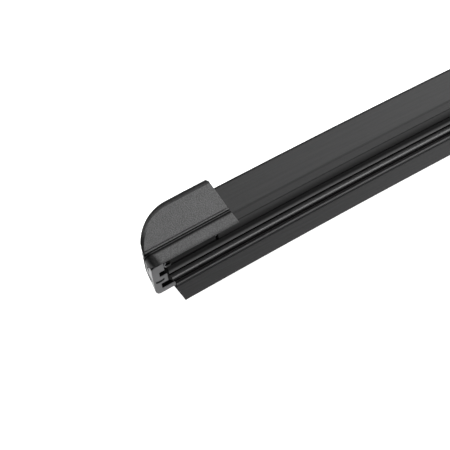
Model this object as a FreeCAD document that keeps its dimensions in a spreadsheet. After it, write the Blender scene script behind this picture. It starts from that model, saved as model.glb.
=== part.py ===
import FreeCAD, Part
import math
import os
from types import SimpleNamespace

import Sketcher

# A frameless wiper blade with an asymmetric spoiler, seen unloaded, so that it keeps its slight bow.
# +X runs along the blade, +Z points away from the glass, and the viewer's side, where the spoiler's
# wide face looks, is -Y. The origin is the middle of the pivot that the arm's hook turns on.
# Sections are drawn about the rails' middle plane, which lies pivot_height below the origin.

SIZES = {
    # Whole blade
    "blade_length": 400.0,
    "bow_radius": 4000.0,
    "pivot_height": 11.0,
    "fit_gap": 0.1,
    # Spring rails
    "rail_width": 3.8,
    "rail_thick": 0.9,
    "rail_spread": 2.2,
    "rail_inset": 9.8,
    "notch_depth": 0.8,
    "notch_length": 3.0,
    "notch_inset": 14.0,
    # Rubber: head, neck and wedge, whose lip has set over towards the viewer's side
    "rubber_inset": 6.9,
    "head_half": 2.4,
    "head_cap": 0.7,
    "web_half": 0.95,
    "collar_half": 2.3,
    "flange_half": 3.2,
    "flange_top": 2.6,
    "flange_foot": 4.5,
    "neck_half": 0.4,
    "neck_foot": 4.9,
    "lip_lean": 50.0,
    "shoulder_half": 2.13,
    "shoulder_drop": 2.88,
    "shoulder_foot": 3.85,
    "groove_half": 1.35,
    "edge_break": 0.25,
    "ridge_half": 1.8,
    "ridge_top": 4.75,
    "ridge_foot": 5.5,
    "lip_root_half": 0.72,
    "lip_tip_half": 0.35,
    "wedge_length": 9.45,
    "lip_trim": 0.9,
    # Spoiler section
    "base_half": 5.6,
    "claw_drop": 1.1,
    "claw_thick": 0.5,
    "claw_reach": 1.6,
    "wall_top": 1.09,
    "band_run": 1.79,
    "band_rise": 1.03,
    "face_run": 5.69,
    "face_rise": 5.6,
    "tip_thick": 1.0,
    "tip_round": 0.3,
    "skin_run": 1.5,
    "back_run": 1.1,
    "hollow_floor": 2.7,
    "hollow_top": 6.4,
    "head_room": 0.25,
    "spoiler_inset": 11.2,
    "claw_inset": 22.4,
    "claw_cut_top": 1.05,
    # End cap
    "cap_start": -0.4,
    "cap_end": 28.6,
    "cap_foot": 0.95,
    "cap_near": 7.06,
    "cap_near_foot": 1.03,
    "cap_far": 6.9,
    "cap_far_foot": 1.6,
    "cap_band_run": 3.17,
    "cap_band_rise": 2.84,
    "cap_lean": 43.0,
    "bead_width": 0.35,
    "bead_proud": 0.25,
    "groove_deep": 0.4,
    "panel_length": 8.4,
    "rim_width": 1.4,
    "fin_start": 0.4,
    "fin_radius": 16.0,
    "fin_rise": 0.3,
    "end_sweep": 36.5,
    "cap_channel_start": 5.8,
    "cap_nose_bend": 1.0,
    "cap_nose_sweep": 7.4,
    "cap_corner": 2.0,
    "cap_cavity_start": 10.7,
    # End clip, the slotted block under the cap that holds the rails
    "clip_half": 6.9,
    "clip_top": 0.95,
    "clip_foot": 6.1,
    "clip_near_length": 6.0,
    "clip_far_length": 12.0,
    "clip_far_wall": 1.8,
    "clip_step": 9.6,
    "clip_start": -0.3,
    "clip_sweep": 6.9,
    "clip_far_round": 6.0,
    "clip_foot_round": 1.4,
    "clip_top_round": 1.3,
    "slot_start": 2.0,
    "slot_height": 1.16,
    "slot_top": 0.85,
    "tongue_height": 1.96,
    "tongue_end": 4.5,
    "clip_web_half": 2.9,
    "arm_half": 5.45,
    "arm_thick": 0.4,
    "arm_inner": 2.8,
    "arm_end": 21.6,
    "catch_start": 3.6,
    "catch_gap": 0.15,
    "catch_height": 1.25,
    "catch_wall": 0.32,
    # Centre housing
    "housing_half_length": 31.0,
    "housing_half": 8.6,
    "housing_top_half": 8.1,
    "housing_shoulder": 3.2,
    "housing_foot": 2.1,
    "deck_height": 14.2,
    "deck_end_height": 10.0,
    "deck_half_length": 17.0,
    "well_half": 6.8,
    "well_floor": 3.2,
    "well_front": 10.5,
    "well_back": 29.0,
    "socket_depth": 3.0,
    "socket_gap": 0.2,
    # Rail clamp of folded steel inside the housing
    "clamp_half_length": 20.0,
    "clamp_thick": 0.7,
    # Pivot sleeve and rivet
    "sleeve_radius": 3.0,
    "sleeve_bore": 1.65,
    "rivet_radius": 1.6,
    "rivet_head_radius": 2.8,
    "rivet_head_thick": 0.9,
    "running_gap": 0.05,
    # Hook adapter
    "adapter_half": 6.5,
    "cheek_thick": 1.8,
    "nose_radius": 4.4,
    "core_length": 25.0,
    "core_foot": 0.5,
    "cheek_front": 6.0,
    "cheek_back": 27.5,
    "cheek_foot": 2.4,
    "cheek_top": 8.0,
}


class Dim:
    """A size that carries its number and the spreadsheet expression that gives it."""

    def __init__(self, number, text):
        self.number = number
        self.text = text

    def __add__(self, other):
        other = dim(other)
        return Dim(self.number + other.number, f"({self.text} + {other.text})")

    def __sub__(self, other):
        other = dim(other)
        return Dim(self.number - other.number, f"({self.text} - {other.text})")

    def __mul__(self, other):
        other = dim(other)
        return Dim(self.number * other.number, f"({self.text} * {other.text})")

    def __truediv__(self, other):
        other = dim(other)
        return Dim(self.number / other.number, f"({self.text} / {other.text})")

    def __rsub__(self, other):
        return dim(other) - self

    def __neg__(self):
        return dim(0) - self

    __radd__ = __add__
    __rmul__ = __mul__


def dim(value):
    """Return a plain number as a Dim, and a Dim as it is."""
    return value if isinstance(value, Dim) else Dim(float(value), f"{float(value)}")


def sine(angle):
    """Return the sine of an angle in degrees."""
    angle = dim(angle)
    return Dim(math.sin(math.radians(angle.number)), f"sin({angle.text} * 1deg)")


def cosine(angle):
    """Return the cosine of an angle in degrees."""
    return sine(dim(90) - angle)


def arc_degrees(length):
    """Return the angle in degrees that a length along the bow turns through."""
    return length / SIZE.bow_radius * (180 / math.pi)


# Document and spreadsheet

DOC = FreeCAD.newDocument("wiper_blade")
SHEET = DOC.addObject("Spreadsheet::Sheet", "Sizes")
for row, (alias, value) in enumerate(SIZES.items(), start=1):
    SHEET.set(f"A{row}", alias)
    SHEET.set(f"B{row}", str(value))
    SHEET.setAlias(f"B{row}", alias)
DOC.recompute()
SIZE = SimpleNamespace(**{alias: Dim(value, f"Sizes.{alias}") for alias, value in SIZES.items()})
PIECES = []


# Bodies, sketches and features

def new_body(label):
    """Add an empty body whose label is its node's name."""
    body = DOC.addObject("PartDesign::Body", label)
    body.Label = label
    PIECES.append(body)
    return body


def bind(item, path, value):
    """Set one property, or one part of it, from a Dim's expression."""
    item.setExpression(path, value.text)


def new_sketch(body, plane, offset=None):
    """Add a sketch on one of the body's origin planes, moved along its normal by offset."""
    sketch = body.newObject("Sketcher::SketchObject", f"{body.Name}_{plane[:2]}")
    support = [item for item in body.Origin.OriginFeatures if item.Role == plane][0]
    sketch.AttachmentSupport = [(support, "")]
    sketch.MapMode = "FlatFace"
    if offset is not None:
        bind(sketch, "AttachmentOffset.Base.z", offset)
    return sketch


def constrain(sketch, kind, *place, value):
    """Add a dimension to the sketch and bind it to a Dim."""
    index = sketch.addConstraint(Sketcher.Constraint(kind, *place, value.number))
    sketch.setExpression(f"Constraints[{index}]", value.text)


def fix_point(sketch, item, end, across, up):
    """Hold one end of an item at a place measured from the sketch's origin."""
    constrain(sketch, "DistanceX", -1, 1, item, end, value=across)
    constrain(sketch, "DistanceY", -1, 1, item, end, value=up)


def corner_arc(before, corner, after, radius):
    """Return the tangent points, the arc and whether it runs anticlockwise, for one rounded corner."""
    back = (before - corner).normalize()
    ahead = (after - corner).normalize()
    half = back.getAngle(ahead) / 2
    start = corner + back * (radius / math.tan(half))
    end = corner + ahead * (radius / math.tan(half))
    centre = corner + (back + ahead).normalize() * (radius / math.sin(half))
    left = (corner - before).cross(after - corner).z > 0
    first, last = (start, end) if left else (end, start)
    angles = [math.atan2(point.y - centre.y, point.x - centre.x) for point in (first, last)]
    circle = Part.Circle(centre, FreeCAD.Vector(0, 0, 1), radius)
    return start, end, Part.ArcOfCircle(circle, angles[0], angles[1]), left


def outline(sketch, corners):
    """Draw a closed outline: each corner is (across, up), or (across, up, radius) where it is round."""
    corners = [[dim(part) for part in corner] for corner in corners]
    places = [FreeCAD.Vector(corner[0].number, corner[1].number, 0) for corner in corners]
    count = len(corners)
    ends = []
    rounds = {}
    for index, corner in enumerate(corners):
        if len(corner) == 2:
            ends.append((places[index], places[index]))
            continue
        start, end, arc, left = corner_arc(
            places[index - 1], places[index], places[(index + 1) % count], corner[2].number
        )
        ends.append((start, end))
        rounds[index] = (arc, left)
    lines = []
    for index in range(count):
        run = Part.LineSegment(ends[index][1], ends[(index + 1) % count][0])
        lines.append(sketch.addGeometry(run, False))
    for index, corner in enumerate(corners):
        before, after = lines[index - 1], lines[index]
        if index not in rounds:
            sketch.addConstraint(Sketcher.Constraint("Coincident", before, 2, after, 1))
            fix_point(sketch, after, 1, corner[0], corner[1])
            continue
        arc, left = rounds[index]
        bend = sketch.addGeometry(arc, False)
        first, last = (1, 2) if left else (2, 1)
        sketch.addConstraint(Sketcher.Constraint("Tangent", before, 2, bend, first))
        sketch.addConstraint(Sketcher.Constraint("Tangent", bend, last, after, 1))
        constrain(sketch, "Radius", bend, value=corner[2])
        point = sketch.addGeometry(Part.Point(places[index]), True)
        sketch.addConstraint(Sketcher.Constraint("PointOnObject", point, 1, before))
        sketch.addConstraint(Sketcher.Constraint("PointOnObject", point, 1, after))
        fix_point(sketch, point, 1, corner[0], corner[1])


def ring(sketch, across, up, radius):
    """Draw a whole circle."""
    place = FreeCAD.Vector(across.number, up.number, 0)
    item = sketch.addGeometry(Part.Circle(place, FreeCAD.Vector(0, 0, 1), radius.number), False)
    fix_point(sketch, item, 3, across, up)
    constrain(sketch, "Radius", item, value=radius)


def far_axis(sketch):
    """Add the bow's axis, a construction line parallel to Y one bow radius below the rails."""
    depth = -SIZE.bow_radius
    ends = [FreeCAD.Vector(x, depth.number, 0) for x in (0, 1)]
    line = sketch.addGeometry(Part.LineSegment(*ends), True)
    sketch.addConstraint(Sketcher.Constraint("Horizontal", line))
    fix_point(sketch, line, 1, dim(0), depth)
    constrain(sketch, "DistanceX", line, 1, line, 2, value=dim(1))


def add(body, kind, sketch, **settings):
    """Add a feature made from a sketch, with its plain settings."""
    feature = body.newObject(f"PartDesign::{kind}", f"{body.Name}_{kind}")
    feature.Profile = sketch
    sketch.Visibility = False
    for name, value in settings.items():
        if isinstance(value, Dim):
            bind(feature, name, value)
        else:
            setattr(feature, name, value)
    return feature


def bend_along_bow(body, sketch, length, both_ways):
    """Carry a section along the bow: both ways from the middle, or towards +X from one end."""
    far_axis(sketch)
    return add(
        body, "Revolution", sketch,
        ReferenceAxis=(sketch, ["Axis0"]), Midplane=both_ways, Angle=arc_degrees(length),
    )


def round_edges(body, radius, wanted):
    """Round the edges whose middle passes the wanted test."""
    DOC.recompute()
    base = body.Tip
    names = []
    for index, edge in enumerate(base.Shape.Edges, start=1):
        middle = edge.valueAt((edge.FirstParameter + edge.LastParameter) / 2)
        if wanted(middle, edge):
            names.append(f"Edge{index}")
    fillet = body.newObject("PartDesign::Fillet", f"{body.Name}_Fillet")
    fillet.Base = (base, names)
    bind(fillet, "Radius", radius)
    return fillet


def place(item, x, z, turn=None):
    """Place a piece in the XZ plane, turned about Y by an angle in degrees."""
    if turn is not None:
        item.Placement = FreeCAD.Placement(
            FreeCAD.Vector(0, 0, 0), FreeCAD.Rotation(FreeCAD.Vector(0, 1, 0), turn.number)
        )
        bind(item, "Placement.Rotation.Angle", turn)
    bind(item, "Placement.Base.x", x)
    bind(item, "Placement.Base.z", z)


def place_at_left_end(item, from_tip):
    """Place a piece drawn from the blade's left tip: it touches the bow at from_tip along its X."""
    turn = arc_degrees(SIZE.blade_length / 2 - from_tip)
    x = -SIZE.bow_radius * sine(turn) - from_tip * cosine(turn)
    z = SIZE.bow_radius * (cosine(turn) - 1) - from_tip * sine(turn) - SIZE.pivot_height
    place(item, x, z, -turn)


def mirror_to_right(left, label):
    """Add the right-hand twin of a left-hand piece, mirrored in the middle plane."""
    twin = DOC.addObject("Part::Mirroring", label)
    twin.Label = label
    twin.Source = left
    twin.Base = FreeCAD.Vector(0, 0, 0)
    twin.Normal = FreeCAD.Vector(1, 0, 0)
    PIECES.append(twin)
    return twin


def mirrored(points):
    """Return a right-hand run of points followed by its mirror image, back to the start."""
    return points + [(-point[0], *point[1:]) for point in reversed(points)]


# Places that several pieces share

RAIL_TOP = SIZE.rail_thick / 2
CHANNEL_TOP = RAIL_TOP + SIZE.fit_gap
RAIL_INNER = SIZE.rail_spread / 2
RAIL_OUTER = RAIL_INNER + SIZE.rail_width
CHANNEL_HALF = RAIL_OUTER + SIZE.fit_gap
CLAW_TOP = SIZE.claw_drop - SIZE.claw_thick
HEAD_TOP = CHANNEL_TOP + SIZE.head_cap
HEAD_ROOF = HEAD_TOP + SIZE.head_room
HEAD_SIDE = SIZE.head_half + SIZE.head_room
FACE_FOOT_Y = -(SIZE.base_half - SIZE.band_run)
FACE_FOOT_Z = SIZE.wall_top + SIZE.band_rise
TIP_Y = FACE_FOOT_Y + SIZE.face_run
TIP_Z = FACE_FOOT_Z + SIZE.face_rise
UP = -SIZE.pivot_height


# Spring rails

def rail(label, side):
    """One spring steel strip, notched at its outer edge near both ends. side is -1 or 1."""
    body = new_body(label)
    section = new_sketch(body, "YZ_Plane")
    inner, outer = RAIL_INNER * side, RAIL_OUTER * side
    outline(section, [(inner, -RAIL_TOP), (outer, -RAIL_TOP), (outer, RAIL_TOP), (inner, RAIL_TOP)])
    bend_along_bow(body, section, SIZE.blade_length - SIZE.rail_inset * 2, True)
    notches = new_sketch(body, "XY_Plane")
    middle = SIZE.blade_length / 2 - SIZE.notch_inset
    bottom = (RAIL_OUTER - SIZE.notch_depth) * side
    top = (RAIL_OUTER + SIZE.notch_depth) * side
    for end in (-1, 1):
        near = middle * end - SIZE.notch_length / 2
        far = middle * end + SIZE.notch_length / 2
        outline(notches, [(near, bottom), (far, bottom), (far, top), (near, top)])
    add(body, "Pocket", notches, Type="ThroughAll", Midplane=True)
    place(body, dim(0), UP)


# Rubber

def wedge_point(across, down):
    """Return a point of the leaning wedge from its own axes: across it, and down it from the neck."""
    lean = SIZE.lip_lean
    y = -(across * cosine(lean) + down * sine(lean))
    z = -SIZE.neck_foot + across * sine(lean) - down * cosine(lean)
    return y, z


def wedge_side(side):
    """Return one side of the wedge from the neck to the lip's tip. side is 1 for the viewer's side."""
    groove_top = SIZE.shoulder_foot + SIZE.fit_gap
    return [
        wedge_point(SIZE.neck_half * side, dim(0)),
        wedge_point((SIZE.shoulder_half - SIZE.edge_break) * side, SIZE.shoulder_drop),
        wedge_point(SIZE.shoulder_half * side, SIZE.shoulder_drop + SIZE.edge_break),
        wedge_point(SIZE.shoulder_half * side, SIZE.shoulder_foot),
        wedge_point(SIZE.groove_half * side, groove_top),
        wedge_point(SIZE.groove_half * side, SIZE.ridge_top - SIZE.fit_gap),
        wedge_point(SIZE.ridge_half * side, SIZE.ridge_top),
        wedge_point(SIZE.ridge_half * side, SIZE.ridge_foot),
        wedge_point(SIZE.lip_root_half * side, SIZE.ridge_foot + SIZE.fit_gap),
        wedge_point(SIZE.lip_tip_half * side, SIZE.wedge_length),
    ]


def wiper_rubber():
    """The squeegee: a head with a groove for each rail, a flange, a thin neck, and the wedge and lip."""
    body = new_body("wiper_rubber")
    section = new_sketch(body, "YZ_Plane")
    head = [
        (SIZE.neck_half, -SIZE.flange_foot),
        (SIZE.flange_half, -SIZE.flange_foot),
        (SIZE.flange_half, -SIZE.flange_top),
        (SIZE.collar_half, -SIZE.flange_top),
        (SIZE.collar_half, -CHANNEL_TOP),
        (SIZE.web_half, -CHANNEL_TOP),
        (SIZE.web_half, CHANNEL_TOP),
        (SIZE.head_half, CHANNEL_TOP),
        (SIZE.head_half, HEAD_TOP),
    ]
    outline(section, mirrored(head) + wedge_side(1) + wedge_side(-1)[::-1])
    bend_along_bow(body, section, SIZE.blade_length, True)
    trim_ends(body)
    place(body, dim(0), UP)


def trim_ends(body):
    """Trim both ends at a slant, so that the lip is a little shorter than the head, as shears leave it."""
    over = 3
    turn = arc_degrees(SIZE.blade_length / 2 - SIZE.rubber_inset)
    high = HEAD_TOP + over
    low = (SIZE.bow_radius - SIZE.neck_foot - SIZE.wedge_length) * cosine(turn) - SIZE.bow_radius - over
    high_x, low_x = [(SIZE.bow_radius + level) * sine(turn) / cosine(turn) for level in (high, low)]
    trim = new_sketch(body, "XZ_Plane")
    reach = SIZE.blade_length / 2 + over
    outline(trim, [
        (-reach, high + over),
        (-reach, low - over),
        (reach, low - over),
        (reach, high + over),
    ])
    outline(trim, [
        (-high_x + SIZE.fit_gap, high),
        (-low_x + SIZE.lip_trim, low),
        (low_x - SIZE.lip_trim, low),
        (high_x - SIZE.fit_gap, high),
    ])
    add(body, "Pocket", trim, Type="Length", Midplane=True, Length=SIZE.wedge_length * 4)


# Spoiler

def face_y(level):
    """Return where the wide face stands at a level above the rails."""
    return FACE_FOOT_Y + (level - FACE_FOOT_Z) * (SIZE.face_run / SIZE.face_rise)


def back_y(level):
    """Return where the back face stands at a level above the rails."""
    slope = (SIZE.base_half - TIP_Y - SIZE.tip_thick) / (TIP_Z - SIZE.wall_top)
    return SIZE.base_half - (level - SIZE.wall_top) * slope


def spoiler_channel(half, foot, reach):
    """Return the underside of a section that clips on the rails, from its right foot to its left one."""
    lip = half - reach
    return mirrored([
        (half, -foot),
        (lip, -foot),
        (lip, -CLAW_TOP),
        (CHANNEL_HALF, -CLAW_TOP),
        (CHANNEL_HALF, CHANNEL_TOP),
        (HEAD_SIDE, CHANNEL_TOP),
        (HEAD_SIDE, HEAD_ROOF),
    ])


def spoiler_left():
    """The hollow spoiler strip from the cap to the centre, drawn from its outer end towards +X."""
    body = new_body("spoiler_left")
    section = new_sketch(body, "YZ_Plane")
    upper = [
        (-SIZE.base_half, SIZE.wall_top),
        (FACE_FOOT_Y, FACE_FOOT_Z),
        (TIP_Y, TIP_Z, SIZE.tip_round),
        (TIP_Y + SIZE.tip_thick, TIP_Z, SIZE.tip_round),
        (SIZE.base_half, SIZE.wall_top),
    ]
    outline(section, spoiler_channel(SIZE.base_half, SIZE.claw_drop, SIZE.claw_reach) + upper)
    floor, top = SIZE.hollow_floor, SIZE.hollow_top
    outline(section, [
        (face_y(floor) + SIZE.skin_run, floor),
        (face_y(top) + SIZE.skin_run, top),
        (back_y(top) - SIZE.back_run, top),
        (back_y(floor) - SIZE.back_run, floor),
    ])
    inner_end = SIZE.housing_half_length - SIZE.socket_depth + SIZE.socket_gap
    length = SIZE.blade_length / 2 - SIZE.spoiler_inset - inner_end
    bend_along_bow(body, section, length, False)
    cut = new_sketch(body, "XZ_Plane")
    run = SIZE.claw_inset - SIZE.spoiler_inset
    low = -(SIZE.claw_drop + 1)
    outline(cut, [(dim(-2), low), (run, low), (run, SIZE.claw_cut_top), (dim(-2), SIZE.claw_cut_top)])
    add(body, "Pocket", cut, Type="ThroughAll", Midplane=True)
    turn = arc_degrees(SIZE.blade_length / 2 - SIZE.spoiler_inset)
    place(body, -SIZE.bow_radius * sine(turn), SIZE.bow_radius * (cosine(turn) - 1) + UP, -turn)
    mirror_to_right(body, "spoiler_right")


# End cap

def slope_step(start, down, out):
    """Return a corner moved down and out from another, along and square to the cap's wide panel."""
    lean = SIZE.cap_lean
    y = start[0] - down * sine(lean) - out * cosine(lean)
    z = start[1] - down * cosine(lean) + out * sine(lean)
    return y, z


def cap_corners():
    """Return the named corners of the cap's outer section."""
    band_foot = (-SIZE.cap_near, SIZE.cap_near_foot)
    band_top = (-SIZE.cap_near + SIZE.cap_band_run, SIZE.cap_near_foot + SIZE.cap_band_rise)
    bead_foot = slope_step(band_top, dim(0), SIZE.bead_proud - SIZE.fit_gap)
    bead_top = slope_step(bead_foot, -SIZE.bead_width, dim(0))
    groove_foot = slope_step(bead_top, dim(0), -(SIZE.groove_deep + SIZE.bead_proud))
    groove_top = slope_step(groove_foot, -SIZE.bead_width, dim(0))
    panel_foot = slope_step(groove_top, dim(0), SIZE.groove_deep)
    panel_top = slope_step(panel_foot, -SIZE.panel_length, dim(0))
    rim_back = (panel_top[0] + SIZE.rim_width, panel_top[1])
    return SimpleNamespace(
        band_foot=band_foot, band_top=band_top, bead_foot=bead_foot, bead_top=bead_top,
        groove_foot=groove_foot, groove_top=groove_top, panel_foot=panel_foot,
        panel_top=panel_top, rim_back=rim_back,
    )


def end_cap_left():
    """The moulded cap: a solid nose and a shell over the spoiler's end, with a quarter-round fin."""
    body = new_body("end_cap_left")
    spot = cap_corners()
    section = new_sketch(body, "YZ_Plane", SIZE.cap_start)
    outline(section, [
        (-SIZE.base_half, SIZE.cap_foot),
        spot.band_foot, spot.band_top, spot.bead_foot, spot.bead_top,
        spot.groove_foot, spot.groove_top, spot.panel_foot,
        (*spot.panel_top, dim(0.25)),
        (*spot.rim_back, dim(0.4)),
        (SIZE.cap_far, SIZE.cap_far_foot, dim(0.5)),
        (SIZE.cap_far, SIZE.cap_foot),
    ])
    add(body, "Pad", section, Length=SIZE.cap_end - SIZE.cap_start)
    cavity = new_sketch(body, "YZ_Plane", SIZE.cap_end)
    gap = SIZE.socket_gap
    outline(cavity, [
        (-SIZE.base_half - gap, SIZE.cap_foot - 2),
        (-SIZE.base_half - gap, SIZE.wall_top + gap),
        (FACE_FOOT_Y - gap, FACE_FOOT_Z + gap),
        (TIP_Y - gap, TIP_Z + gap),
        (TIP_Y + SIZE.tip_thick + gap, TIP_Z + gap),
        (SIZE.base_half + gap, SIZE.wall_top + gap),
        (SIZE.base_half + gap, SIZE.cap_foot - 2),
    ])
    add(body, "Pocket", cavity, Length=SIZE.cap_end - SIZE.cap_cavity_start)
    channel = new_sketch(body, "YZ_Plane", SIZE.cap_end)
    outline(channel, [
        (-SIZE.base_half - gap, SIZE.cap_foot - 2), (SIZE.base_half + gap, SIZE.cap_foot - 2),
        (SIZE.base_half + gap, HEAD_ROOF), (-SIZE.base_half - gap, HEAD_ROOF),
    ])
    add(body, "Pocket", channel, Length=SIZE.cap_end - SIZE.cap_channel_start)
    sweep_nose(body, spot)
    round_fin(body, spot)
    place_at_left_end(body, SIZE.cap_end / 2)
    mirror_to_right(body, "end_cap_right")


def sweep_nose(body, spot):
    """Cut the cap's nose back in plan and round the upright corner where the band begins."""
    plan = new_sketch(body, "XY_Plane")
    start = SIZE.cap_start
    bend_y = spot.band_top[0]
    near_y = -SIZE.cap_near - 1
    far = (start + SIZE.cap_nose_sweep, SIZE.cap_far)
    slope = SIZE.cap_nose_bend / SIZE.cap_band_run
    outline(plan, [
        (start - slope, near_y), (start + SIZE.cap_nose_bend, bend_y), far,
        (far[0] + 1, far[1] + 1), (far[0] - 20, far[1] + 1), (start - 12, near_y),
    ])
    add(body, "Pocket", plan, Type="ThroughAll", Midplane=True)
    run, rise = SIZE.cap_band_run, SIZE.cap_band_rise
    angle = math.atan2(rise.number, run.number)
    tilt = Dim(math.degrees(angle) - 90, f"atan({rise.text} / {run.text}) - 90deg")
    corner = new_sketch(body, "XY_Plane")
    corner.AttachmentOffset = FreeCAD.Placement(
        FreeCAD.Vector(0, 0, 0), FreeCAD.Rotation(FreeCAD.Vector(1, 0, 0), tilt.number)
    )
    bind(corner, "AttachmentOffset.Rotation.Angle", tilt)
    bind(corner, "AttachmentOffset.Base.y", spot.band_foot[0])
    bind(corner, "AttachmentOffset.Base.z", spot.band_foot[1])
    radius = SIZE.cap_corner
    outline(corner, [
        (start - 2, dim(-1)), (start + radius, dim(-1)), (start + radius, dim(0)),
        (start, dim(0), radius * 0.99), (start, radius), (start - 2, radius),
    ])
    along = FreeCAD.Vector(slope.number * math.cos(angle), math.cos(angle), math.sin(angle))
    length = Dim(math.hypot(run.number, rise.number), f"sqrt({run.text} ^ 2 + {rise.text} ^ 2)")
    add(
        body, "Pocket", corner, UseCustomVector=True, Direction=along, AlongSketchNormal=False,
        Length=length * 2, Midplane=True,
    )


def round_fin(body, spot):
    """Cut the fin's outer corner to a quarter round: square through the rim, and falling away behind it."""
    trim_fin(body, spot, dim(0), 0)
    trim_fin(body, spot, SIZE.rim_width, 30)


def trim_fin(body, spot, behind, fall):
    """Cut round the fin's outline from a plane behind the panel, along a line that falls by an angle."""
    lean, sweep = SIZE.cap_lean, SIZE.end_sweep
    cut = new_sketch(body, "XY_Plane")
    cut.AttachmentOffset = FreeCAD.Placement(
        FreeCAD.Vector(0, 0, 0), FreeCAD.Rotation(FreeCAD.Vector(1, 0, 0), 90 - lean.number)
    )
    bind(cut, "AttachmentOffset.Rotation.Angle", 90 - lean)
    bind(cut, "AttachmentOffset.Base.x", behind * sine(sweep) / cosine(sweep))
    bind(cut, "AttachmentOffset.Base.y", spot.panel_foot[0] + behind)
    bind(cut, "AttachmentOffset.Base.z", spot.panel_foot[1])
    radius = SIZE.fin_radius
    top = SIZE.panel_length - SIZE.fin_rise
    foot = top - radius
    reach = 8
    middle_x = SIZE.fin_start + Dim(
        math.sqrt(radius.number**2 - foot.number**2), f"sqrt({radius.text} ^ 2 - {foot.text} ^ 2)"
    )
    outline(cut, [
        (middle_x - radius, foot - 1),
        (middle_x - radius, top, radius),
        (SIZE.cap_end + 1, top + SIZE.fin_rise),
        (SIZE.cap_end + 1, top + reach),
        (middle_x - radius - reach, top + reach),
        (middle_x - radius - reach, foot - 1),
    ])
    across, down = math.radians(sweep.number), math.radians(fall)
    level = math.cos(down)
    direction = FreeCAD.Vector(math.sin(across) * level, math.cos(across) * level, -math.sin(down))
    add(
        body, "Pocket", cut, UseCustomVector=True, Direction=direction, AlongSketchNormal=False,
        Type="ThroughAll", Midplane=True,
    )


# End clip

def end_clip_left():
    """The block under the cap: a swept-back nose with a slotted side, and an arm along each rail."""
    body = new_body("end_clip_left")
    half = SIZE.clip_half
    plan = new_sketch(body, "XY_Plane", -SIZE.clip_foot)
    near_x, back_x = SIZE.clip_near_length, SIZE.rubber_inset - SIZE.head_room
    wall_y = half - SIZE.clip_far_wall
    outline(plan, [
        (SIZE.clip_start, -half), (near_x, -half), (near_x, -SIZE.clip_web_half), (back_x, dim(0)),
        (back_x, SIZE.flange_half + SIZE.head_room), (SIZE.clip_step, SIZE.flange_half + SIZE.head_room),
        (SIZE.clip_step, wall_y), (SIZE.clip_far_length, wall_y), (SIZE.clip_far_length, half),
        (SIZE.clip_sweep, half, SIZE.clip_far_round),
    ])
    add(body, "Pad", plan, Length=SIZE.clip_foot + SIZE.clip_top)
    round_edges(body, SIZE.clip_foot_round, lambda middle, edge: swept_edge(middle, -SIZE.clip_foot.number))
    round_edges(body, SIZE.clip_top_round, lambda middle, edge: swept_edge(middle, SIZE.clip_top.number))
    cut_slots(body)
    clip_arms(body)
    clip_catch(body)
    place_at_left_end(body, SIZE.cap_end / 2)
    mirror_to_right(body, "end_clip_right")


def swept_edge(middle, level):
    """Say whether an edge runs round the clip's swept end at a level."""
    start = SIZE.clip_start.number
    slope = (SIZE.clip_sweep.number - start) / (2 * SIZE.clip_half.number)
    end = start + (middle.y + SIZE.clip_half.number) * slope
    on_end = middle.x < end + 1.2 and middle.y > -SIZE.clip_half.number + 0.1
    return abs(middle.z - level) < 0.01 and on_end


def cut_slots(body):
    """Cut the two side slots, open towards the rubber, that leave the snap tongue between them."""
    first = -SIZE.slot_top
    second = first - SIZE.slot_height
    third = second - SIZE.tongue_height
    fourth = third - SIZE.slot_height
    start, end, back = SIZE.slot_start, SIZE.tongue_end, SIZE.clip_near_length + 1
    depth = SIZE.clip_half - SIZE.clip_web_half
    side = new_sketch(body, "XZ_Plane", SIZE.clip_web_half)
    outline(side, [
        (back, first), (start, first), (start, second), (end, second, dim(0.3)),
        (end, third, dim(0.3)), (start, third), (start, fourth), (back, fourth),
    ])
    add(body, "Pocket", side, Length=depth + 1, Reversed=True)


def clip_arms(body):
    """Carry a hooked arm from the block along the outer edge of each rail."""
    top = CHANNEL_TOP + SIZE.arm_thick
    foot = CLAW_TOP + SIZE.claw_thick
    lip = SIZE.arm_half - SIZE.claw_reach
    for side, root in ((-1, SIZE.clip_near_length), (1, SIZE.clip_step)):
        start = root - SIZE.fit_gap
        arm = new_sketch(body, "YZ_Plane", start)
        outline(arm, [
            (SIZE.arm_inner * side, top), (SIZE.arm_half * side, top), (SIZE.arm_half * side, -foot),
            (lip * side, -foot), (lip * side, -CLAW_TOP), (CHANNEL_HALF * side, -CLAW_TOP),
            (CHANNEL_HALF * side, CHANNEL_TOP), (SIZE.arm_inner * side, CHANNEL_TOP),
        ])
        add(body, "Pad", arm, Length=SIZE.arm_end - start)


def clip_catch(body):
    """Open a corner over the upper slot and stand the small catch in it, a round-ended loop."""
    corner = new_sketch(body, "XZ_Plane", SIZE.arm_half)
    start, end = SIZE.catch_start, SIZE.clip_near_length
    top = SIZE.clip_top - SIZE.catch_gap
    foot = top - SIZE.catch_height
    below = -SIZE.slot_top - 0.5
    outline(corner, [(start, below), (end + 1, below), (end + 1, top + 1), (start, top + 1)])
    add(body, "Pocket", corner, Length=SIZE.clip_half, Reversed=True)
    loop = new_sketch(body, "XZ_Plane", SIZE.arm_half - SIZE.catch_wall)
    first = start + SIZE.catch_gap
    for inset in (dim(0), SIZE.catch_wall):
        radius = (SIZE.catch_height - inset * 2) * 0.48
        outline(loop, [
            (first + inset, foot + inset, radius), (end - inset, foot + inset, radius),
            (end - inset, top - inset, radius), (first + inset, top - inset, radius),
        ])
    add(body, "Pad", loop, Length=SIZE.clip_half - SIZE.arm_half + SIZE.catch_wall)


# Centre housing, clamp and pivot

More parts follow.
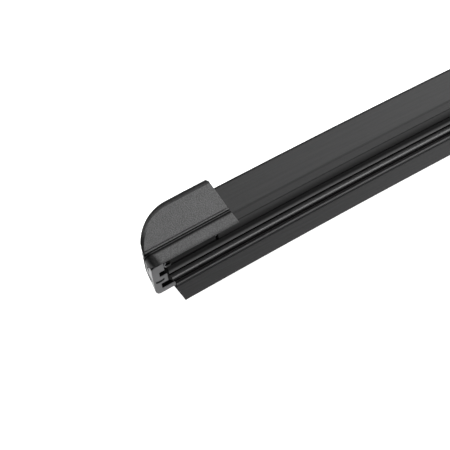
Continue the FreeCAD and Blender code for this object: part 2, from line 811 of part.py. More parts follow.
def housing():
    """The moulded centre: a low body over the rails with a well for the adapter and a plain deck."""
    body = new_body("centre_housing")
    section = new_sketch(body, "YZ_Plane")
    room = SIZE.clamp_thick + SIZE.fit_gap
    inner = CHANNEL_HALF + room
    upper = [
        (-SIZE.housing_half, SIZE.housing_shoulder, dim(2)),
        (-SIZE.housing_top_half, SIZE.deck_height, dim(1)),
        (SIZE.housing_top_half, SIZE.deck_height, dim(1)),
        (SIZE.housing_half, SIZE.housing_shoulder, dim(2)),
    ]
    under = mirrored([
        (SIZE.housing_half, -SIZE.housing_foot, dim(0.8)),
        (inner, -SIZE.housing_foot),
        (inner, CHANNEL_TOP + room),
        (HEAD_SIDE + room, CHANNEL_TOP + room),
        (HEAD_SIDE + room, HEAD_ROOF + room),
    ])
    outline(section, under + upper)
    add(body, "Pad", section, Length=SIZE.housing_half_length * 2, Midplane=True)
    slope_deck(body)
    adapter_well(body)
    spoiler_sockets(body)
    pivot_holes(body)
    place(body, dim(0), UP)


def slope_deck(body):
    """Slope the deck down towards both ends."""
    cut = new_sketch(body, "XZ_Plane")
    over = SIZE.deck_height + 2
    for end in (-1, 1):
        outline(cut, [
            (SIZE.deck_half_length * end, SIZE.deck_height),
            (SIZE.housing_half_length * end, SIZE.deck_end_height),
            ((SIZE.housing_half_length + 2) * end, SIZE.deck_end_height),
            ((SIZE.housing_half_length + 2) * end, over),
            (SIZE.deck_half_length * end, over),
        ])
    add(body, "Pocket", cut, Type="ThroughAll", Midplane=True)


def adapter_well(body):
    """Open the well that the adapter turns in."""
    well = new_sketch(body, "XY_Plane", SIZE.well_floor)
    half = SIZE.well_half
    outline(well, [
        (-SIZE.well_front, -half, dim(1)), (SIZE.well_back, -half, dim(1)),
        (SIZE.well_back, half, dim(1)), (-SIZE.well_front, half, dim(1)),
    ])
    add(body, "Pocket", well, Length=SIZE.deck_height, Reversed=True)


def spoiler_sockets(body):
    """Sink a socket into each end of the housing for the spoiler's inner end."""
    gap = SIZE.socket_gap
    corners = [
        (-SIZE.base_half - gap, -SIZE.housing_foot - 1),
        (-SIZE.base_half - gap, SIZE.wall_top + gap),
        (FACE_FOOT_Y - gap, FACE_FOOT_Z + gap),
        (TIP_Y - gap, TIP_Z + gap),
        (TIP_Y + SIZE.tip_thick + gap, TIP_Z + gap),
        (SIZE.base_half + gap, SIZE.wall_top + gap),
        (SIZE.base_half + gap, -SIZE.housing_foot - 1),
    ]
    for end in (-1, 1):
        face = new_sketch(body, "YZ_Plane", SIZE.housing_half_length * end)
        outline(face, corners)
        add(body, "Pocket", face, Length=SIZE.socket_depth, Reversed=end < 0)


def pivot_holes(body):
    """Bore the walls for the rivet and sink a seat for each of its heads."""
    bore = new_sketch(body, "XZ_Plane")
    ring(bore, dim(0), SIZE.pivot_height, SIZE.rivet_radius + SIZE.running_gap)
    add(body, "Pocket", bore, Type="ThroughAll", Midplane=True)
    for side in (-1, 1):
        seat = new_sketch(body, "XZ_Plane", (RIVET_HALF - SIZE.rivet_head_thick) * side)
        ring(seat, dim(0), SIZE.pivot_height, SIZE.rivet_head_radius + SIZE.running_gap)
        add(body, "Pocket", seat, Length=SIZE.housing_half, Reversed=side > 0)


RIVET_HALF = SIZE.housing_top_half + SIZE.fit_gap * 2


def rail_clamp():
    """The folded steel clamp: a plate over the rails with a jaw round the outer edge of each."""
    body = new_body("rail_clamp")
    section = new_sketch(body, "YZ_Plane")
    thick = SIZE.clamp_thick
    gap = SIZE.fit_gap
    half = CHANNEL_HALF + thick
    lip = half - SIZE.claw_reach
    jaw = RAIL_TOP + gap
    under = mirrored([
        (lip, -jaw - thick), (lip, -jaw), (CHANNEL_HALF, -jaw), (CHANNEL_HALF, CHANNEL_TOP),
        (HEAD_SIDE, CHANNEL_TOP), (HEAD_SIDE, HEAD_ROOF),
    ])
    over = mirrored([
        (half, -jaw - thick), (half, CHANNEL_TOP + thick), (HEAD_SIDE + thick, CHANNEL_TOP + thick),
        (HEAD_SIDE + thick, HEAD_ROOF + thick),
    ])
    outline(section, under + over[::-1])
    add(body, "Pad", section, Length=SIZE.clamp_half_length * 2, Midplane=True)
    place(body, dim(0), UP)


def pivot_sleeve():
    """The steel tube across the well that the adapter turns on."""
    body = new_body("pivot_sleeve")
    disc = new_sketch(body, "XZ_Plane")
    ring(disc, dim(0), dim(0), SIZE.sleeve_radius)
    ring(disc, dim(0), dim(0), SIZE.sleeve_bore)
    add(body, "Pad", disc, Length=(SIZE.well_half - SIZE.running_gap) * 2, Midplane=True)


def pivot_rivet():
    """The rivet through the housing's walls and the sleeve, with a domed head at each side."""
    body = new_body("pivot_rivet")
    half = new_sketch(body, "XY_Plane")
    seat = RIVET_HALF - SIZE.rivet_head_thick
    outline(half, [
        (dim(0), -RIVET_HALF),
        (SIZE.rivet_head_radius, -RIVET_HALF, dim(0.5)),
        (SIZE.rivet_head_radius, -seat),
        (SIZE.rivet_radius, -seat),
        (SIZE.rivet_radius, seat),
        (SIZE.rivet_head_radius, seat),
        (SIZE.rivet_head_radius, RIVET_HALF, dim(0.5)),
        (dim(0), RIVET_HALF),
    ])
    turn = add(body, "Revolution", half, ReferenceAxis=(half, ["V_Axis"]))
    turn.Angle = 360


# Hook adapter

def hook_adapter():
    """The adapter: a round-nosed core between two cheeks, which the arm's hook wraps round."""
    body = new_body("hook_adapter")
    core = new_sketch(body, "XZ_Plane")
    nose = SIZE.nose_radius
    outline(core, [
        (-nose, -nose, nose - 0.02), (SIZE.core_length / 3, -nose, dim(3)),
        (SIZE.core_length, -SIZE.core_foot, dim(0.6)),
        (SIZE.core_length, nose, dim(0.6)), (-nose, nose, nose - 0.02),
    ])
    add(body, "Pad", core, Length=(SIZE.adapter_half - SIZE.cheek_thick) * 2, Midplane=True)
    for side in (-1, 1):
        cheek = new_sketch(body, "XZ_Plane", -(SIZE.adapter_half - SIZE.cheek_thick) * side)
        outline(cheek, [
            (-SIZE.cheek_front, -SIZE.cheek_foot, dim(1.5)),
            (SIZE.cheek_back, -SIZE.cheek_foot, dim(1)),
            (SIZE.cheek_back, SIZE.cheek_top, dim(2)),
            (SIZE.cheek_front / 2, SIZE.cheek_top, dim(4)),
            (-SIZE.cheek_front, SIZE.cheek_foot, dim(2)),
        ])
        add(body, "Pad", cheek, Length=SIZE.cheek_thick, Reversed=side > 0)
    bore = new_sketch(body, "XZ_Plane")
    ring(bore, dim(0), dim(0), SIZE.sleeve_radius + SIZE.running_gap)
    add(body, "Pocket", bore, Type="ThroughAll", Midplane=True)


# Build, check and write

def check_document():
    """Stop with a message if any object failed or any piece's shape is missing or wrong."""
    for item in DOC.Objects:
        if {"Invalid", "Error"} & set(item.State):
            raise RuntimeError(f"{item.Name} ({item.Label}) is {item.State}")
    for piece in PIECES:
        shape = piece.Shape
        if shape.isNull() or not shape.isValid():
            raise RuntimeError(f"{piece.Label} has no valid shape")
        if not shape.Solids:
            raise RuntimeError(f"{piece.Label} has no solid")


def write_parts():
    """Write each piece's shape to its own file."""
    os.makedirs("parts", exist_ok=True)
    for piece in PIECES:
        piece.Shape.exportStep(f"parts/{piece.Label}.step")
        box = piece.Shape.BoundBox
        print(
            f"{piece.Label}: {len(piece.Shape.Solids)} solid, {piece.Shape.Volume:.1f} mm3,"
            f" x {box.XMin:.2f} {box.XMax:.2f}, y {box.YMin:.2f} {box.YMax:.2f},"
            f" z {box.ZMin:.2f} {box.ZMax:.2f}"
        )


rail("rail_front", -1)
rail("rail_back", 1)
wiper_rubber()
spoiler_left()
end_cap_left()
end_clip_left()
housing()
rail_clamp()
pivot_sleeve()
pivot_rivet()
hook_adapter()
DOC.recompute()
check_document()
write_parts()
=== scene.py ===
import math

import bpy
import numpy as np
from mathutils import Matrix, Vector


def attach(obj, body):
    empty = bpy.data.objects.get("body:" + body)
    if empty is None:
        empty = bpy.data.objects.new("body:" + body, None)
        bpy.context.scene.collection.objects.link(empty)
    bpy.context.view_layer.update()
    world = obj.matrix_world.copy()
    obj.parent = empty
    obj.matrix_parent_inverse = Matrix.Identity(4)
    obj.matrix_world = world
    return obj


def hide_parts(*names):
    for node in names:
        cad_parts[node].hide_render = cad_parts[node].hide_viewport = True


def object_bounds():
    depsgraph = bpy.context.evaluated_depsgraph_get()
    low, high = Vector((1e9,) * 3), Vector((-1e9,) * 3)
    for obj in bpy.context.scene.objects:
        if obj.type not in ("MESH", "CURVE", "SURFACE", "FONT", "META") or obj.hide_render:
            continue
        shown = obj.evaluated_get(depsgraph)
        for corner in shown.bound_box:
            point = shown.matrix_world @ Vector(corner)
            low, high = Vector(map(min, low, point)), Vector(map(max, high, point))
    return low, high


MM = 0.001
WHITE = (1.0, 1.0, 1.0, 1.0)

# The floor's own light, as the camera and as glossy surfaces see it
FLOOR_GLOW = 0.95
FLOOR_SHEEN = 0.8
FLOOR_HALF = 6.0

# What the lights face, how far off they are and how wide, in metres
LIT_POINT = Vector((-0.17, 0.0, -0.01))
LIGHT_DISTANCE = 1.4
LIGHT_SIZE = 0.8

# The blade's bow, pivot height and half length, in mm
BOW = 4000.0
PIVOT = 11.0
HALF = 200.0

# The rubber: its wedge's lean, the wedge's top and how far short of the blade's ends the strip stops, in mm, and how
# many sections the sweep has
LEAN = math.radians(50.0)
NECK_FOOT = 4.9
RUBBER_INSET = 7.0
RUBBER_STATIONS = 121

# The end cap, by (y, height) over the rails: where the band meets the panel and the way down the band, the
# panel's foot and the way up it, and how far in the cap reaches
BAND_TOP = (-3.89, 3.87)
DOWN_BAND = (-0.745, -0.667)
PANEL_FOOT = (-3.34, 4.31)
UP_PANEL = (0.682, 0.731)
CAP_LENGTH = 36.0

# The end cap's quarter-round corner: the middle of its arc, as inward and up the panel
ARC_INWARD = 14.3
ARC_UP = -7.9

# The end clip: its near side, where its nose starts, and the nose's slope in plan
CLIP_HALF = 6.9
CLIP_START = -0.3
CLIP_SLOPE = 0.5217


# Materials: a socket wrapper, so that a pattern reads as arithmetic

def add_node(tree, kind, sockets, output=0, **settings):
    """Add a node with its settings, then the value or the link of each socket. Return one output as a field."""
    node = tree.nodes.new(kind)
    for name, value in settings.items():
        setattr(node, name, value)
    for name, value in sockets.items():
        if isinstance(value, Field):
            tree.links.new(value.socket, node.inputs[name])
        else:
            node.inputs[name].default_value = value
    return Field(tree, node.outputs[output])


class Field:
    """A value that varies over a surface, as the output socket of a node."""

    def __init__(self, tree, socket):
        self.tree = tree
        self.socket = socket

    def math(self, operation, *others):
        return add_node(self.tree, "ShaderNodeMath", dict(enumerate((self, *others))), operation=operation)

    def __add__(self, other):
        return self.math("ADD", other)

    def __sub__(self, other):
        return self.math("SUBTRACT", other)

    def __rsub__(self, other):
        return self.math("MULTIPLY", -1.0) + other

    def __mul__(self, other):
        return self.math("MULTIPLY", other)

    def __or__(self, other):
        """Return the stronger of two masks."""
        return self.math("MAXIMUM", other)

    def size(self):
        return self.math("ABSOLUTE")

    def ramp(self, low, high):
        """Return 0 below low and 1 above high, smooth between them."""
        sockets = {"Value": self, "From Min": low, "From Max": high}
        return add_node(self.tree, "ShaderNodeMapRange", sockets, interpolation_type="SMOOTHSTEP")

    def fall(self, low, high):
        """Return 1 below low and 0 above high, smooth between them."""
        return 1.0 - self.ramp(low, high)

    def between(self, low, high):
        """Return 1 between low and high, with soft edges 0.1 wide."""
        return self.ramp(low - 0.05, low + 0.05) * self.fall(high - 0.05, high + 0.05)

    def tint(self, low, high):
        """Return a colour that goes from low to high, each a colour or a field, as this field goes from 0 to 1."""
        sockets = {"Factor": self}
        for name, colour in (("A", low), ("B", high)):
            sockets[name] = colour if isinstance(colour, Field) else (*colour, 1.0)
        return add_node(self.tree, "ShaderNodeMix", sockets, output="Result", data_type="RGBA")


class Surface:
    """A new material, with the fields that its patterns are made of."""

    def __init__(self, name, roughness, specular=0.5, coat_roughness=0.1, metallic=0.0):
        self.material = bpy.data.materials.new(name)
        self.material.use_nodes = True
        self.tree = self.material.node_tree
        self.shader = self.tree.nodes["Principled BSDF"]
        self.shader.inputs["Roughness"].default_value = roughness
        self.shader.inputs["Specular IOR Level"].default_value = specular
        self.shader.inputs["Coat Roughness"].default_value = coat_roughness
        self.shader.inputs["Metallic"].default_value = metallic
        self.place = add_node(self.tree, "ShaderNodeTexCoord", {}, output="Object")

    def stretched(self, x, y, z):
        """Return the object coordinates in mm, with each axis scaled."""
        sockets = {"Vector": self.place, "Scale": (x / MM, y / MM, z / MM)}
        return add_node(self.tree, "ShaderNodeMapping", sockets)

    def noise(self, size, detail=2.0, stretch=(1.0, 1.0, 1.0)):
        """Return noise whose spots are about size mm across."""
        sockets = {"Vector": self.stretched(*stretch), "Scale": 1.0 / size, "Detail": detail, "Roughness": 0.5}
        return add_node(self.tree, "ShaderNodeTexNoise", sockets, output="Fac")

    def grains(self, size):
        """Return the distance to the nearest of many points about size mm apart."""
        sockets = {"Vector": self.stretched(1, 1, 1), "Scale": 1.0 / size}
        return add_node(self.tree, "ShaderNodeTexVoronoi", sockets, output="Distance")

    def axes(self):
        """Return the object coordinates x, y and z in mm as three fields."""
        first = add_node(self.tree, "ShaderNodeSeparateXYZ", {0: self.stretched(1, 1, 1)})
        return [Field(self.tree, socket) for socket in first.socket.node.outputs]

    def end_axes(self):
        """Return how far in from the blade's end a point lies, its y, and its height over the rails there."""
        x, y, z = self.axes()
        turn = HALF / BOW
        out = x.size() * -1.0 + BOW * math.sin(turn)
        up = z + (PIVOT + BOW * (1 - math.cos(turn)))
        inward = out * math.cos(turn) + up * math.sin(turn)
        height = up * math.cos(turn) - out * math.sin(turn)
        return inward, y, height

    def set(self, name, field):
        self.tree.links.new(field.socket, self.shader.inputs[name])

    def shade(self, mask):
        """Paint shade: go over to a dull black, as shade falls in the depth of a joint, as the mask goes from 0 to 1.
        """
        dull = add_node(self.tree, "ShaderNodeBsdfPrincipled", {
            "Base Color": (0.003, 0.003, 0.003, 1.0), "Roughness": 1.0, "Specular IOR Level": 0.0,
        })
        lit = Field(self.tree, self.shader.outputs[0])
        mixed = add_node(self.tree, "ShaderNodeMixShader", {0: mask, 1: lit, 2: dull})
        self.tree.links.new(mixed.socket, self.tree.nodes["Material Output"].inputs["Surface"])

    def bump(self, field, height, edge=0.0):
        """Raise the surface by field times height mm, over edges softened by a radius of edge mm."""
        sockets = {"Strength": 1.0, "Distance": height * MM, "Height": field}
        if edge:
            sockets["Normal"] = add_node(self.tree, "ShaderNodeBevel", {"Radius": edge * MM}, samples=6)
        self.set("Normal", add_node(self.tree, "ShaderNodeBump", sockets))


def along(y, height, start, way):
    """Return how far a point lies from start along a way, both as (y, height) in the end's section."""
    return (y - start[0]) * way[0] + (height - start[1]) * way[1]


def grained_plastic():
    """Mould-textured black plastic: fine pebbled grain with slightly paler high spots.

    The end caps also have painted shade in the joint between the panel and the band, with a thin pale edge left in
    it, along the panel's rim, over the band's near corner and along the band's foot, and a painted highlight on the
    nose.
    """
    s = Surface("grained_plastic", 0.55)
    pebble = s.grains(0.34)
    grit = s.noise(0.12)
    patch = s.noise(5.0, detail=3.0)
    tone = (pebble * -0.8 + grit * 0.6 + patch * 0.4 + 0.2).ramp(0.0, 0.8)
    plain = tone.tint((0.038, 0.038, 0.039), (0.084, 0.084, 0.085))
    inward, y, height = s.end_axes()
    # Painted highlight: the nose gets a paler base colour in place of the reflection that its grazing face catches.
    nose = (inward - 0.6 - (y - BAND_TOP[0]) * 0.593).fall(0.03, 0.2) * height.fall(1.0, 4.0)
    s.set("Base Color", nose.tint(plain, (0.24, 0.24, 0.245)))
    s.set("Roughness", grit * 0.25 + 0.42)

    # Painted shade: the joint between the panel and the band, the panel's rim, the band's near corner and the band's
    # foot go over to a dull black.
    below = along(y, height, BAND_TOP, DOWN_BAND)
    joint = below.ramp(-0.12, 0.05) * below.fall(0.75, 1.5)
    edge = below.ramp(0.26, 0.34) * below.fall(0.46, 0.58)
    to_arc = along(y, height, PANEL_FOOT, UP_PANEL) - ARC_UP
    left = (inward - ARC_INWARD).math("MINIMUM", 0.0)
    from_middle = (left * left + to_arc * to_arc).math("SQRT")
    rim = from_middle.ramp(15.5, 15.75) * 0.6 | from_middle.ramp(14.95, 15.35) * inward.fall(2.5, 7.0) * 0.88
    on_band = y.fall(-4.1, -3.8)
    corner = inward.ramp(0.4, 1.2) * inward.fall(2.3, 3.9) * on_band
    foot = below.ramp(3.3, 4.3) * below.fall(4.5, 4.6) * on_band
    dark = joint * (edge * -0.5 + 0.95) | rim | corner * 0.8 | foot * 0.4
    s.shade(dark * inward.fall(CAP_LENGTH, CAP_LENGTH + 0.1))
    s.bump(pebble * -0.7 + grit * 0.5, 0.05, edge=0.12)
    return s.material


def satin_plastic(name):
    """Start a smooth satin black plastic. Return its surface and a faint flow mottling."""
    s = Surface(name, 0.42)
    cloud = s.noise(3.0, detail=3.0)
    fine = s.noise(0.1, detail=1.0)
    s.set("Roughness", cloud * 0.16 + 0.36)
    s.bump(fine, 0.008, edge=0.15)
    return s, (cloud * 0.7 + fine * 0.3).ramp(0.3, 0.7)


def clip_plastic():
    """Satin black plastic with a painted highlight on the nose, as a paler base colour, and a fine curved line of
    painted shade on the block's side.

    The slots, the post and the tab next to the rubber, the depth behind the nose, and the arms, which lie under the
    cap's band, are duller and darker with painted shade.
    """
    s, tone = satin_plastic("clip_plastic")
    inward, y, height = s.end_axes()
    arms = inward.ramp(5.9, 6.2)
    post = inward.ramp(4.05, 4.25) * height.fall(-0.9, -0.6) * height.ramp(-4.5, -4.3)
    tab = inward.ramp(4.2, 4.5) * height.ramp(-0.8, -0.6) * (height.ramp(-0.2, 0.2) * 0.3 + 0.65)
    slots = height.between(-1.97, -0.93) | height.between(-4.92, -3.8)
    slots = slots * inward.ramp(1.84, 1.94) * inward.fall(4.3, 4.5)
    into_nose = inward - CLIP_START - (y + CLIP_HALF) * CLIP_SLOPE - y.ramp(0.0, 4.5) * 1.5
    depth = y.size().fall(6.5, 6.75) * into_nose.ramp(0.15, 0.35)
    shade_under_band = arms * (height.ramp(0.0, 1.2) * -0.3 + 0.88)
    bend = inward - 1.7
    mark = (height + 3.1 - bend * bend * 0.1).size().fall(0.16, 0.34) * inward.ramp(0.3, 0.5) * inward.fall(3.0, 3.2)
    # Painted shade over the slots, the post, the tab, the depth behind the nose, the arms under the band (lighter
    # near the band) and a fine curved line on the block's side.
    s.shade((depth | tab) * (1.0 - arms) | post * 0.95 | shade_under_band | slots * 0.97 | mark * 0.95)
    # Painted highlight: the nose gets a paler base colour, less so towards the top, in place of the reflection that
    # its grazing face catches.
    nose = into_nose.fall(0.03, 0.15) * (height.ramp(-1.5, 3.0) * -0.3 + 1.0)
    plain = tone.tint((0.088, 0.088, 0.09), (0.114, 0.114, 0.117))
    s.set("Base Color", nose.tint(plain, (0.3, 0.3, 0.306)))
    return s.material


def smooth_plastic():
    """Satin black plastic, a little darker than the clip's."""
    s, tone = satin_plastic("smooth_plastic")
    s.set("Base Color", tone.tint((0.058, 0.058, 0.06), (0.075, 0.075, 0.077)))
    return s.material


def spoiler_plastic():
    """Extruded matte black plastic: faint streaks along the blade and a dusting of fine grain.

    Two thin lines of painted shade run along its front creases, and its side wall darkens towards the rails with
    painted shade.
    """
    s = Surface("spoiler_plastic", 0.5, specular=0.25)
    streak = s.noise(0.5, stretch=(0.02, 1.0, 1.0))
    fine = s.noise(0.14, detail=1.0)
    tone = streak * 0.6 + fine * 0.4
    s.set("Base Color", tone.ramp(0.3, 0.7).tint((0.012, 0.012, 0.0125), (0.02, 0.02, 0.0205)))
    s.set("Roughness", streak * 0.12 + fine * 0.1 + 0.4)
    x, y, z = s.axes()
    level = z + x * x * (0.5 / BOW) + PIVOT
    # Painted shade: thin dark lines along the two creases of the front, and the side wall darkening towards the
    # rails.
    crease_shade = (level - 1.0).size().fall(0.08, 0.2) | (level - 2.25).size().fall(0.1, 0.3) * 0.6
    s.shade(level.fall(-1.4, 1.3) * 0.75 | crease_shade * y.fall(-3.0, -2.5) * 0.5)
    s.bump(tone, 0.012, edge=0.2)
    return s.material


def rubber():
    """Moulded black rubber: a sheen on the head's ridges, a dull lip with faint streaks along it, and painted shade
    in the groove, on the neck and on the flange's upper part.

    How far down the wedge a point lies is found from its height over the bow and its y.
    """
    s = Surface("rubber", 0.45, specular=0.16, coat_roughness=0.28)
    streak = s.noise(0.35, detail=3.0, stretch=(0.015, 1.0, 1.0))
    fine = s.noise(0.09, detail=1.0)
    x, y, z = s.axes()
    level = z + x * x * (0.5 / BOW) + (PIVOT + NECK_FOOT)
    down = (y * math.sin(LEAN) + level * math.cos(LEAN)) * -1.0
    across = (y * -math.cos(LEAN) + level * math.sin(LEAN)).size()
    lip = down.ramp(5.55, 5.85)
    # Painted shade: the groove under the head's ridge, the neck below the flange and the flange's upper part under
    # the spoiler go over to a dull black.
    groove = across.fall(1.75, 2.0) * down.ramp(4.0, 4.15) * down.fall(4.75, 4.95)
    neck = across.fall(1.7, 2.0) * down.fall(2.3, 2.7) * level.fall(0.0, 0.2)
    flange = level.ramp(0.3, 1.4) * level.fall(4.2, 4.4)
    s.shade((groove | neck | flange) * 0.9)
    s.set("Base Color", (streak * 0.8 + fine * 0.2).ramp(0.3, 0.7).tint((0.01, 0.01, 0.0105), (0.019, 0.019, 0.0195)))
    s.set("Roughness", streak * 0.2 + 0.3 + lip * 0.1)
    s.set("Coat Weight", 1.0 - down.ramp(4.3, 4.7) * 0.6 - lip * 0.4)
    s.bump(streak * 0.7 + fine * 0.3, 0.01)
    return s.material


def sheared_rubber():
    """The rubber's cut ends: dull black, matte where cut and darker than the strip as painted shade, with fine marks
    of the shears.
    """
    s = Surface("sheared_rubber", 0.8, specular=0.1)
    marks = s.noise(0.12, stretch=(1.0, 0.1, 1.0))
    # Painted shade: the cut ends' base colour is darker than the strip's.
    s.set("Base Color", marks.ramp(0.3, 0.7).tint((0.004, 0.004, 0.004), (0.008, 0.008, 0.008)))
    s.bump(marks, 0.01)
    return s.material


def coated_steel():
    """Rolled spring strip: dark grey, drawn along the blade."""
    s = Surface("coated_steel", 0.35, metallic=1.0)
    drawn = s.noise(0.12, detail=3.0, stretch=(0.02, 1.0, 1.0))
    s.set("Base Color", drawn.ramp(0.2, 0.8).tint((0.2, 0.2, 0.2), (0.34, 0.34, 0.35)))
    s.set("Roughness", drawn * 0.25 + 0.25)
    s.bump(drawn, 0.006, edge=0.1)
    return s.material


def plated_steel():
    """Zinc-plated steel, with the soft cloudiness of barrel plating."""
    s = Surface("plated_steel", 0.3, metallic=1.0)
    cloud = s.noise(1.2, detail=4.0)
    fine = s.noise(0.15)
    s.set("Base Color", cloud.ramp(0.3, 0.7).tint((0.5, 0.5, 0.52), (0.64, 0.64, 0.65)))
    s.set("Roughness", cloud * 0.3 + 0.2)
    s.bump(fine, 0.006, edge=0.12)
    return s.material


# The rubber: one section swept along the bow, with rounded ridges and slanted ends

def wedge(across, down):
    """Return (y, z) of a point of the leaning wedge, from the neck's foot, in mm."""
    y = -(across * math.cos(LEAN) + down * math.sin(LEAN))
    z = -NECK_FOOT + across * math.sin(LEAN) - down * math.cos(LEAN)
    return y, z


def round_corner(before, corner, after, radius, steps):
    """Return the points of a rounded corner: a circular arc of that radius between its two sides."""
    before, corner, after = (np.array(point, float) for point in (before, corner, after))
    back = (before - corner) / np.linalg.norm(before - corner)
    ahead = (after - corner) / np.linalg.norm(after - corner)
    half = math.acos(np.clip(back @ ahead, -1, 1)) / 2
    reach = radius / math.tan(half)
    longest = 0.48 * min(np.linalg.norm(before - corner), np.linalg.norm(after - corner))
    radius = radius * min(1.0, longest / reach)
    reach = min(reach, longest)
    middle = (back + ahead) / np.linalg.norm(back + ahead)
    centre = corner + middle * radius / math.sin(half)
    start = corner + back * reach - centre
    end = corner + ahead * reach - centre
    turn = math.acos(np.clip(start @ end / radius**2, -1, 1))
    share = np.linspace(0, 1, steps)[:, None]
    arc = (np.sin((1 - share) * turn) * start + np.sin(share * turn) * end) / math.sin(turn)
    return centre + arc


def rubber_section():
    """Return the rubber's closed section in (y, z) mm, and how far down the wedge each point lies.

    The wedge's outline is symmetric about its own leaning axis; the head's about the middle plane.
    """
    head = [
        (0.4, -4.8, 0.1), (3.2, -4.8, 0.3), (3.2, -2.6, 0.3), (2.3, -2.6, 0.2), (2.3, -0.55, 0.1),
        (0.95, -0.55, 0.15), (0.95, 0.55, 0.15), (2.4, 0.55, 0.1), (2.4, 1.25, 0.3),
    ]
    side = [
        (0.4, 0.5, 0.1), (2.1, 2.72, 0.36), (2.15, 3.9, 0.5), (0.5, 4.12, 0.2), (0.5, 4.8, 0.2),
        (1.8, 4.92, 0.36), (1.8, 5.66, 0.36), (0.95, 5.76, 0.2), (0.35, 9.45, 0.08),
    ]
    right = [(y, z, r, 0.0, 0.0) for y, z, r in head]
    left = [(-y, z, r, 0.0, 0.0) for y, z, r in reversed(head)]
    near = [(*wedge(q, p), r, q, p) for q, p, r in side]
    far = [(*wedge(-q, p), r, -q, p) for q, p, r in reversed(side)]
    corners = right + left + near + far
    places, marks = [], []
    for index, corner in enumerate(corners):
        before, after = corners[index - 1], corners[(index + 1) % len(corners)]
        steps = 7 if corner[2] > 0.25 else 5
        places.append(round_corner(before[:2], corner[:2], after[:2], corner[2], steps))
        marks += [corner[3:]] * steps
    return np.concatenate(places), np.array(marks)


def make_rubber():
    """Sweep the section about the bow's axis, one bow radius below the rails.

    A point (y, z) of the section goes to X = (R + z) sin(t), Z = (R + z) cos(t) - R at each angle t. At the
    ends t is shifted by the slant: further in towards the far side of the wedge, and down to the lip.
    """
    section, marks = rubber_section()
    across, down = marks[:, 0], marks[:, 1]
    slant = 0.65 * (np.abs(across) - across) + 0.02 * (down - 2.4)
    inward = np.where(down > 1.5, np.clip(slant, 0.0, 3.4), 0.0) + 0.2
    reach = HALF - RUBBER_INSET - inward
    rows = []
    for share in np.linspace(-1, 1, RUBBER_STATIONS):
        angle = share * reach / BOW
        x = (BOW + section[:, 1]) * np.sin(angle)
        z = (BOW + section[:, 1]) * np.cos(angle) - BOW - PIVOT
        rows.append(np.stack([x, section[:, 0], z], -1))
    points = np.concatenate(rows) * MM
    count = len(section)
    faces = []
    for row in range(RUBBER_STATIONS - 1):
        for index in range(count):
            a, b = row * count + index, row * count + (index + 1) % count
            faces.append((a, b, b + count, a + count))
    last = (RUBBER_STATIONS - 1) * count
    faces.append(tuple(reversed(range(count))))
    faces.append(tuple(range(last, last + count)))
    mesh = bpy.data.meshes.new("rubber_strip")
    mesh.from_pydata(points.tolist(), [], faces)
    mesh.polygons.foreach_set("use_smooth", [True] * (len(faces) - 2) + [False, False])
    mesh.polygons.foreach_set("material_index", [0] * (len(faces) - 2) + [1, 1])
    mesh.set_sharp_from_angle(angle=math.radians(32))
    strip = bpy.data.objects.new("rubber_strip", mesh)
    bpy.context.scene.collection.objects.link(strip)
    return strip


# Scene: floor, lights and camera

def make_floor():
    """A plain pale floor under the blade's lip. The camera sees it as clean white, as in the photo."""
    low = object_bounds()[0][2]
    mesh = bpy.data.meshes.new("floor")
    corners = [(-1, -1), (1, -1), (1, 1), (-1, 1)]
    mesh.from_pydata([(x * FLOOR_HALF, y * FLOOR_HALF, low) for x, y in corners], [], [(0, 1, 2, 3)])
    floor = bpy.data.objects.new("floor", mesh)
    bpy.context.scene.collection.objects.link(floor)
    material = bpy.data.materials.new("floor")
    material.use_nodes = True
    tree = material.node_tree
    shader = tree.nodes["Principled BSDF"]
    shader.inputs["Base Color"].default_value = (0.8, 0.8, 0.8, 1.0)
    shader.inputs["Roughness"].default_value = 0.9
    seen = add_node(tree, "ShaderNodeLightPath", {}, output="Is Camera Ray") * FLOOR_GLOW
    mirrored = add_node(tree, "ShaderNodeLightPath", {}, output="Is Glossy Ray") * FLOOR_SHEEN
    glow = add_node(tree, "ShaderNodeEmission", {"Color": WHITE, "Strength": seen + mirrored})
    both = add_node(tree, "ShaderNodeAddShader", {0: Field(tree, shader.outputs[0]), 1: glow})
    tree.links.new(both.socket, tree.nodes["Material Output"].inputs["Surface"])
    mesh.materials.append(material)


def area_light(name, turn, height, power):
    """Add a soft square light, turn degrees round from +X and height degrees up, that faces the blade's left end."""
    turn, height = math.radians(turn), math.radians(height)
    away = Vector((math.cos(turn) * math.cos(height), math.sin(turn) * math.cos(height), math.sin(height)))
    data = bpy.data.lights.new(name, "AREA")
    data.size = LIGHT_SIZE
    data.energy = power
    light = bpy.data.objects.new(name, data)
    light.location = LIT_POINT + away * LIGHT_DISTANCE
    light.rotation_euler = (-away).to_track_quat("-Z", "Y").to_euler()
    bpy.context.scene.collection.objects.link(light)


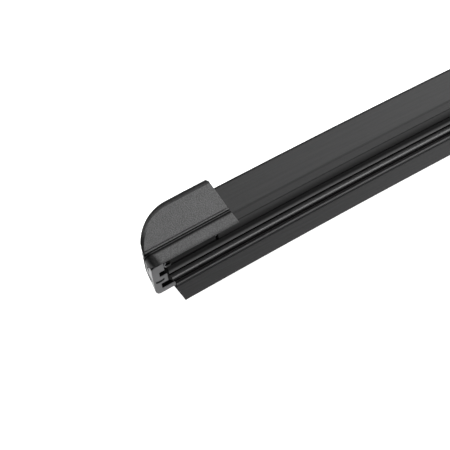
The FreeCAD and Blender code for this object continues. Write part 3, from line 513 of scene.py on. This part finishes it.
def make_lights():
    """Plain soft studio light: a key at the front right, three from the right, low to high, and one behind."""
    world = bpy.data.worlds.new("studio")
    bpy.context.scene.world = world
    world.use_nodes = True
    backdrop = world.node_tree.nodes["Background"]
    backdrop.inputs["Color"].default_value = WHITE
    backdrop.inputs["Strength"].default_value = 0.02
    area_light("key", -50, 30, 9.8)
    area_light("right_low", -15, 8, 16.8)
    area_light("right_middle", -10, 35, 5.8)
    area_light("right_high", 0, 62, 4.9)
    area_light("back_left", 140, 25, 14.0)


def make_camera():
    """The photo's view of the blade's left end."""
    data = bpy.data.cameras.new("camera")
    data.sensor_width = 36.0
    data.lens = 149.70
    data.clip_start = 0.01
    camera = bpy.data.objects.new("camera", data)
    camera.location = (-0.43240, -0.34873, 0.17167)
    camera.rotation_euler = [math.radians(angle) for angle in (66.4044, 8.3561, -40.5174)]
    bpy.context.scene.collection.objects.link(camera)
    bpy.context.scene.camera = camera


def dress(nodes, looks):
    """Give each CAD node its material."""
    for name, material in looks.items():
        mesh = nodes[name].data
        mesh.materials.clear()
        mesh.materials.append(material)


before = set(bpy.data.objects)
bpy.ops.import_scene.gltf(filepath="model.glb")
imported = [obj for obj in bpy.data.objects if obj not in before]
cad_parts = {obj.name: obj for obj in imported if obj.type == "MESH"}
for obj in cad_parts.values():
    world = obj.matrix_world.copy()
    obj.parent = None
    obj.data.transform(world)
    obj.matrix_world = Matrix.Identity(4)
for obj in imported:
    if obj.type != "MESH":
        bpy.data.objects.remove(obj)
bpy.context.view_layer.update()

GRAINED, SMOOTH, SPOILER = grained_plastic(), smooth_plastic(), spoiler_plastic()
CLIP, RUBBER, STRIP, PLATED = clip_plastic(), rubber(), coated_steel(), plated_steel()
dress(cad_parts, {
    "end_cap_left": GRAINED, "end_cap_right": GRAINED, "centre_housing": GRAINED,
    "end_clip_left": CLIP, "end_clip_right": CLIP, "hook_adapter": SMOOTH,
    "spoiler_left": SPOILER, "spoiler_right": SPOILER,
    "wiper_rubber": RUBBER, "rail_front": STRIP, "rail_back": STRIP,
    "rail_clamp": PLATED, "pivot_sleeve": PLATED, "pivot_rivet": PLATED,
})
strip = make_rubber()
strip.data.materials.append(RUBBER)
strip.data.materials.append(sheared_rubber())
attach(strip, "blade")
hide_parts("wiper_rubber")
make_floor()
make_lights()
make_camera()
bpy.context.scene.view_settings.view_transform = "Standard"
